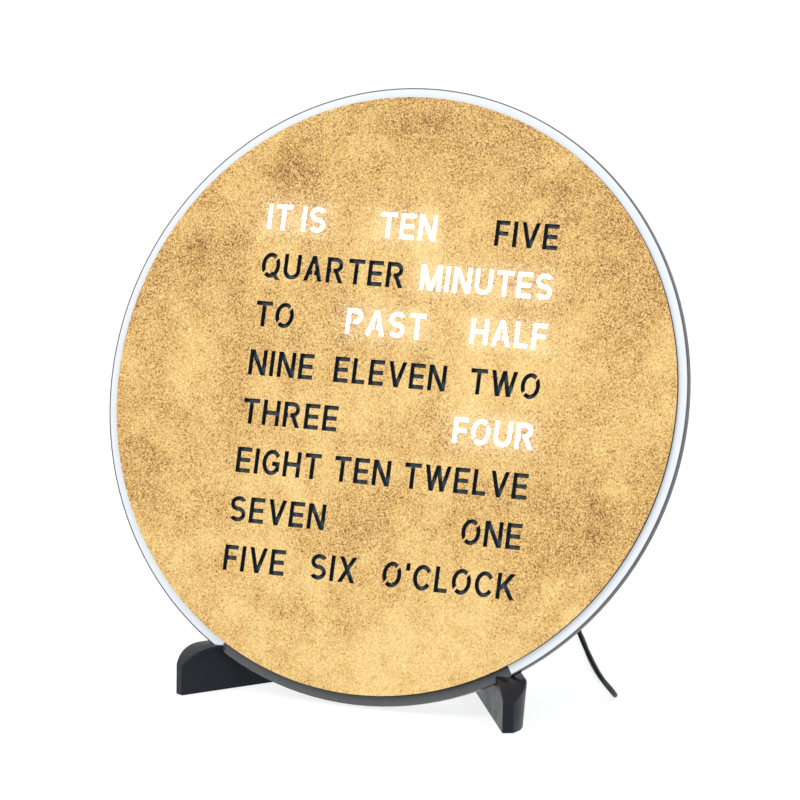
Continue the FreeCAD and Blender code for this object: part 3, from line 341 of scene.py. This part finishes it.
def face_material():
    """Sand and rust blotches in front, plain walls at the letters, painted shade making the wall at the
    outer edge near black, and a slight glow of painted light round the lit words and on their letter walls.
    """
    t = Tree("sand_rust_face")
    u = distance_along(t, AXIS_U)
    v = distance_along(t, AXIS_V)
    flat = facing(t)
    radius = t.length(u, v)
    clouds = t.noise(16.0, 5.0, 0.62)
    stains = t.noise(60.0, 5.0, 0.7)
    speckle = t.noise(1150.0, 2.0, 0.6)
    fine = t.noise(2400.0, 1.0)
    edge = t.smooth(radius, 70.0, 150.0)
    low = t.smooth(v, -40.0, -140.0)
    tone = t.weigh(clouds, 0.55, stains, 0.45)
    tone = t.math("SUBTRACT", tone, t.math("MULTIPLY", edge, 0.07))
    tone = t.math("ADD", tone, t.math("MULTIPLY", low, 0.13))
    depth = t.smooth(tone, 0.34, 0.68)
    amount = t.smooth(tone, 0.36, 0.66, 1.7, 0.85)
    grains = t.math("SUBTRACT", t.weigh(speckle, 0.7, fine, 0.3), 0.5)
    value = t.math("ADD", t.math("MULTIPLY", depth, 0.34), 0.37)
    value = t.math("ADD", value, t.math("MULTIPLY", t.math("MULTIPLY", grains, amount), 1.5))
    rust = t.math("MULTIPLY", t.smooth(t.noise(34.0, 6.0, 0.75), 0.53, 0.7), t.smooth(radius, 60.0, 140.0))
    value = t.math("SUBTRACT", value, t.math("MULTIPLY", rust, 0.22))
    specks = t.math("MULTIPLY", t.smooth(t.noise(1000.0, 2.0, 0.7), 0.57, 0.66), amount)
    value = t.math("SUBTRACT", value, t.math("MULTIPLY", specks, 0.26), clamp=True)
    sand = t.ramp(value, [(0.0, srgb(116, 72, 32)), (0.25, srgb(186, 139, 74)), (0.5, srgb(225, 182, 108)),
                          (0.75, srgb(246, 212, 140)), (1.0, srgb(255, 234, 172))])
    near = lit_distance(t, u, v)
    # Letter walls are cut metal; the same wall at the outer edge is painted near black, as shade.
    wall = t.mix(t.smooth(radius, *FACE_EDGE_SHADE), srgb(70, 76, 80), srgb(22, 21, 20))
    base = t.mix(flat, wall, sand)
    # Painted light: emission on the face round the lit words and on their letter walls stands in for the
    # glow of the LEDs behind.
    halo = t.math("ADD", t.smooth(near, -5.0, 6.0, 0.15, 0.0), t.smooth(near, -6.0, 17.0, 0.05, 0.0))
    lit_wall = t.smooth(near, 0.0, 1.5, 1.1, 0.0)
    glow = t.weigh(halo, flat, lit_wall, t.math("SUBTRACT", 1.0, flat))
    t.surface(Base_Color=base, Roughness=t.smooth(flat, 0.0, 1.0, 0.38, 0.72),
              Metallic=t.smooth(flat, 0.0, 1.0, 0.55, 0.0), Emission_Color=(1.0, 0.97, 0.9, 1.0),
              Emission_Strength=glow, Normal=t.bump(speckle, 0.25, 0.00015))
    return t.material


def smoked_material():
    """Smoked disc, glowing with painted light behind the lit words, half clear on the front of its outer
    margin, with painted shade making its edges near black.
    """
    t = Tree("smoked_clear_disc")
    u = distance_along(t, AXIS_U)
    v = distance_along(t, AXIS_V)
    n = distance_along(t, AXIS_N)
    flat = facing(t)
    outer = t.smooth(t.length(u, v), *SMOKED_MARGIN)
    haze = t.noise(30.0, 3.0)
    grey = t.mix(haze, srgb(98, 98, 101), srgb(108, 108, 111))
    dark = t.mix(haze, srgb(46, 60, 70), srgb(64, 80, 92))
    base = t.mix(outer, dark, grey)
    # Painted shade: the disc's edge faces are near black, standing in for the dark line its polished edge
    # shows.
    base = t.mix(flat, srgb(22, 24, 27), base)
    near = lit_distance(t, u, v)
    front = t.smooth(n, *SMOKED_FRONT)
    # Painted light: the disc's own emission behind the lit words stands in for the LEDs shining through it.
    light = t.math("MULTIPLY", t.math("MULTIPLY", t.smooth(near, 0.5, 2.2, 1.0, 0.0), flat), front)
    shader = t.add("ShaderNodeBsdfPrincipled", Base_Color=base, Roughness=0.12,
                   Emission_Color=(1.0, 0.99, 0.96, 1.0), Emission_Strength=t.math("MULTIPLY", light, 3.2))
    clear = t.add("ShaderNodeBsdfTransparent", Color=(0.9, 0.92, 0.95, 1.0))
    share = t.math("MULTIPLY", t.math("MULTIPLY", t.math("MULTIPLY", outer, flat), front), 0.28)
    mixed = t.tree.nodes.new("ShaderNodeMixShader")
    t.link(share, mixed.inputs[0])
    t.link(shader.outputs[0], mixed.inputs[1])
    t.link(clear.outputs[0], mixed.inputs[2])
    t.link(mixed.outputs[0], t.output.inputs["Surface"])
    return t.material


def rim_material():
    """Pale band with a slight emission of painted light that evens out its shading, and a thin dark line of
    painted shade at its outer edge, standing in for the dark edge of the disc behind it.
    """
    t = Tree("rim_pale")
    radius = t.length(distance_along(t, AXIS_U), distance_along(t, AXIS_V))
    clouds = t.noise(40.0, 3.0)
    pale = t.mix(clouds, srgb(190, 194, 199), srgb(197, 201, 206))
    # Painted shade: a thin dark line at the outer edge stands in for the dark edge of the disc behind the
    # rim.
    line = t.smooth(radius, *RIM_EDGE_SHADE)
    base = t.mix(line, pale, srgb(58, 60, 64))
    # Painted light: a slight emission on the pale band evens out its shading.
    t.surface(Base_Color=base, Roughness=t.smooth(clouds, 0.3, 0.7, 0.34, 0.44),
              Emission_Color=(0.93, 0.96, 1.0, 1.0), Emission_Strength=t.smooth(line, 0.0, 1.0, 0.3, 0.0),
              Normal=t.bump(t.noise(900.0, 3.0), 0.05, 0.0002))
    return t.material


rim = rim_material()
black_sheet = plain("mask_black", srgb(28, 28, 30), 0.8)
steel = plain("screw_steel", srgb(150, 152, 155), 0.32, metallic=1.0, scale=1500.0)
frosted = plain("diffuser_frost", srgb(232, 232, 228), 0.6, vary=0.03)
baffle = plain("baffle_white", srgb(224, 224, 220), 0.7, vary=0.04)
green = plain("board_green", srgb(26, 82, 46), 0.35, scale=700.0, vary=0.2)
black_parts = plain("parts_black", srgb(34, 34, 36), 0.5, vary=0.15)
chip = plain("chip_black", srgb(26, 27, 29), 0.42, vary=0.15)
cans = plain("capacitor_sleeve", srgb(38, 46, 74), 0.35, vary=0.1)
lamp = plain("lamp_body", srgb(240, 226, 180), 0.3, vary=0.05)
housing = plain("housing_black", srgb(36, 38, 41), 0.55, scale=1800.0, bump=0.5, depth=0.0003)
caps = plain("button_grey", srgb(96, 98, 102), 0.42, vary=0.06)
foot = plain("foot_black", srgb(20, 25, 35), 0.4, scale=1400.0, vary=0.12, bump=0.3, depth=0.00012,
             Specular_IOR_Level=0.22)
rubber = plain("rubber_black", srgb(26, 27, 28), 0.7, scale=1200.0)
lead_skin = plain("lead_black", srgb(28, 32, 34), 0.42, scale=2500.0, bump=0.1)
plug_skin = plain("plug_black", srgb(30, 31, 33), 0.5, scale=1500.0, bump=0.3)
contact = plain("contact_plate", srgb(196, 198, 202), 0.25, metallic=1.0, scale=1500.0)
tongue = plain("tongue_white", srgb(222, 222, 218), 0.45)
cell_steel = plain("cell_steel", srgb(188, 190, 193), 0.28, metallic=1.0, scale=900.0)

WEAR = {
    "face_plate": face_material(), "smoked_disc": smoked_material(), "rim_ring": rim,
    "light_mask": black_sheet, "face_studs": steel, "stud_nuts": steel, "diffuser_sheet": frosted,
    "light_baffle": baffle, "led_board": green, "leds": lamp, "board_standoffs": steel,
    "control_board": green, "board_screws": steel, "main_chip": chip, "clock_chip": chip,
    "capacitors": cans, "board_header": black_parts, "coin_cell_holder": black_parts,
    "coin_cell": cell_steel, "rear_housing": housing, "back_cover": housing, "cover_screws": steel,
    "switch_bodies": black_parts, "button_board": green, "button_board_posts": black_parts,
    "power_inlet": black_parts, "inlet_board": green, "inlet_board_posts": black_parts,
    "inlet_lead": rubber, "barrel_plug": plug_skin, "plug_barrel": contact, "plug_relief": rubber,
    "usb_relief": rubber, "usb_body": plug_skin, "usb_shell": contact, "usb_tongue": tongue,
    "foot_left": foot, "foot_right": foot, "foot_pads_left": rubber, "foot_pads_right": rubber,
}
for use in ("hour", "minute", "light"):
    WEAR["button_" + use] = caps
    WEAR["plunger_" + use] = black_parts
for name, material in WEAR.items():
    node = NODES[name]
    node.data.materials.clear()
    node.data.materials.append(material)
lead.data.materials.append(lead_skin)


# Small details on the back, drawn in the disc's frame in millimetres

SCREW_CIRCLE = 121.0
SCREW_ANGLES = (30.0, 90.0, 150.0, 210.0, 270.0, 330.0)
SCREW_HEAD_BACK = -33.6
RECESS_LENGTH = 3.0
RECESS_WIDTH = 0.6
RECESS_SHEET = 0.04
RIB_HEIGHT = 0.35
RIB_HALF_WIDTH = 0.55
RIB_ROOT = 0.15
RIB_SEGMENTS = 48
GRIP_RIBS = 5
GRIP_RIB_LEVEL = -37.0
GRIP_RIB_PITCH = 1.9
GRIP_RADIUS = 4.6
RELIEF_RIBS = 4
RELIEF_RIB_LEVEL = -49.4
RELIEF_RIB_PITCH = 2.2
RELIEF_RADIUS = 2.45
RELIEF_TAPER = 0.156


def detail(name, vertices, faces, material):
    """Mesh piece that rides on the clock, from corners given in the disc's frame."""
    mesh = bpy.data.meshes.new(name)
    mesh.from_pydata([disc(*corner) for corner in vertices], [], faces)
    mesh.materials.append(material)
    piece = bpy.data.objects.new(name, mesh)
    bpy.context.collection.objects.link(piece)
    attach(piece, "clock")
    return piece


def screw_recess_shade():
    """Two crossed dark strips on each screw head: painted shade standing in for the shade in their cross
    recesses.
    """
    vertices = []
    faces = []
    long, wide = RECESS_LENGTH / 2, RECESS_WIDTH / 2
    for angle in SCREW_ANGLES:
        u = SCREW_CIRCLE * math.cos(math.radians(angle))
        v = SCREW_CIRCLE * math.sin(math.radians(angle))
        for lift, (du, dv) in enumerate(((long, wide), (wide, long)), start=1):
            first = len(vertices)
            n = SCREW_HEAD_BACK - RECESS_SHEET * lift
            vertices += [(u - du, v - dv, n), (u - du, v + dv, n), (u + du, v + dv, n), (u + du, v - dv, n)]
            faces.append(tuple(range(first, first + 4)))
    detail("screw_recess_shade", vertices, faces, black_parts)


def ribs(name, places, material):
    """Raised rings round the plug's axis, each given by its level and the radius under it."""
    vertices = []
    faces = []
    for level, radius in places:
        first = len(vertices)
        profile = ((radius - RIB_ROOT, level - RIB_HALF_WIDTH), (radius + RIB_HEIGHT, level),
                   (radius - RIB_ROOT, level + RIB_HALF_WIDTH))
        for k in range(RIB_SEGMENTS):
            angle = 2 * math.pi * k / RIB_SEGMENTS
            for r, n in profile:
                vertices.append((INLET[0] + r * math.cos(angle), INLET[1] + r * math.sin(angle), n))
        for k in range(RIB_SEGMENTS):
            here = first + 3 * k
            after = first + 3 * ((k + 1) % RIB_SEGMENTS)
            for side in (0, 1):
                faces.append((here + side, here + side + 1, after + side + 1, after + side))
    piece = detail(name, vertices, faces, material)
    for face in piece.data.polygons:
        face.use_smooth = True


screw_recess_shade()
grip_places = [(GRIP_RIB_LEVEL - GRIP_RIB_PITCH * k, GRIP_RADIUS) for k in range(GRIP_RIBS)]
relief_places = [(RELIEF_RIB_LEVEL - RELIEF_RIB_PITCH * k, RELIEF_RADIUS - RELIEF_TAPER * k)
                 for k in range(RELIEF_RIBS)]
ribs("plug_grip_ribs", grip_places, plug_skin)
ribs("plug_relief_ribs", relief_places, rubber)


# Floor, world and lamps

def white_for_eye(tree):
    """One for rays that come straight from the camera, or by gloss or glass."""
    path = tree.nodes.new("ShaderNodeLightPath")
    total = None
    for name in ("Is Camera Ray", "Is Glossy Ray", "Is Transmission Ray"):
        if total is None:
            total = path.outputs[name]
            continue
        node = tree.nodes.new("ShaderNodeMath")
        node.operation = "MAXIMUM"
        tree.links.new(total, node.inputs[0])
        tree.links.new(path.outputs[name], node.inputs[1])
        total = node.outputs[0]
    return total


world = bpy.data.worlds.new("studio")
bpy.context.scene.world = world
world.use_nodes = True
sky = world.node_tree
sky.nodes.clear()
even = sky.nodes.new("ShaderNodeBackground")
even.inputs["Color"].default_value = (0.93, 0.96, 1.0, 1.0)
even.inputs["Strength"].default_value = 0.76
white = sky.nodes.new("ShaderNodeBackground")
white.inputs["Color"].default_value = (1.0, 1.0, 1.0, 1.0)
white.inputs["Strength"].default_value = 1.0
chosen = sky.nodes.new("ShaderNodeMixShader")
sky_out = sky.nodes.new("ShaderNodeOutputWorld")
sky.links.new(white_for_eye(sky), chosen.inputs[0])
sky.links.new(even.outputs[0], chosen.inputs[1])
sky.links.new(white.outputs[0], chosen.inputs[2])
sky.links.new(chosen.outputs[0], sky_out.inputs["Surface"])

FLOOR_HALF_WIDTH = 6.0
floor_mesh = bpy.data.meshes.new("floor")
sheet = bmesh.new()
bmesh.ops.create_grid(sheet, x_segments=1, y_segments=1, size=FLOOR_HALF_WIDTH)
sheet.to_mesh(floor_mesh)
sheet.free()
floor = bpy.data.objects.new("floor", floor_mesh)
bpy.context.collection.objects.link(floor)
floor_tree = Tree("floor_white")
matt = floor_tree.add("ShaderNodeBsdfDiffuse", Color=(0.26, 0.26, 0.26, 1.0))
lift = floor_tree.add("ShaderNodeEmission", Color=(1.0, 1.0, 1.0, 1.0), Strength=0.83)
both = floor_tree.tree.nodes.new("ShaderNodeAddShader")
floor_tree.link(matt.outputs[0], both.inputs[0])
floor_tree.link(lift.outputs[0], both.inputs[1])
bounce = floor_tree.add("ShaderNodeBsdfDiffuse", Color=(0.7, 0.7, 0.7, 1.0))
floor_mix = floor_tree.tree.nodes.new("ShaderNodeMixShader")
floor_tree.link(white_for_eye(floor_tree.tree), floor_mix.inputs[0])
floor_tree.link(bounce.outputs[0], floor_mix.inputs[1])
floor_tree.link(both.outputs[0], floor_mix.inputs[2])
floor_tree.link(floor_mix.outputs[0], floor_tree.output.inputs["Surface"])
floor_mesh.materials.append(floor_tree.material)


# Softboxes, each with its place and size in metres and its power in watts, all aimed at one point

AIM = Vector((0.0, 0.0, 0.14))
SOFTBOXES = (
    ("key", Vector((-0.9, -1.7, 1.9)), 1.3, 27.0),
    ("fill", Vector((1.9, -1.4, 1.2)), 1.4, 11.0),
    ("rear", Vector((0.6, 1.8, 1.8)), 1.2, 14.0),
)
for name, stand, size, power in SOFTBOXES:
    box_data = bpy.data.lights.new(name, "AREA")
    box_data.shape = "SQUARE"
    box_data.size = size
    box_data.energy = power
    box = bpy.data.objects.new(name, box_data)
    bpy.context.collection.objects.link(box)
    box.location = stand
    box.rotation_euler = (AIM - stand).to_track_quat("-Z", "Y").to_euler()

bpy.context.scene.view_settings.view_transform = "Standard"
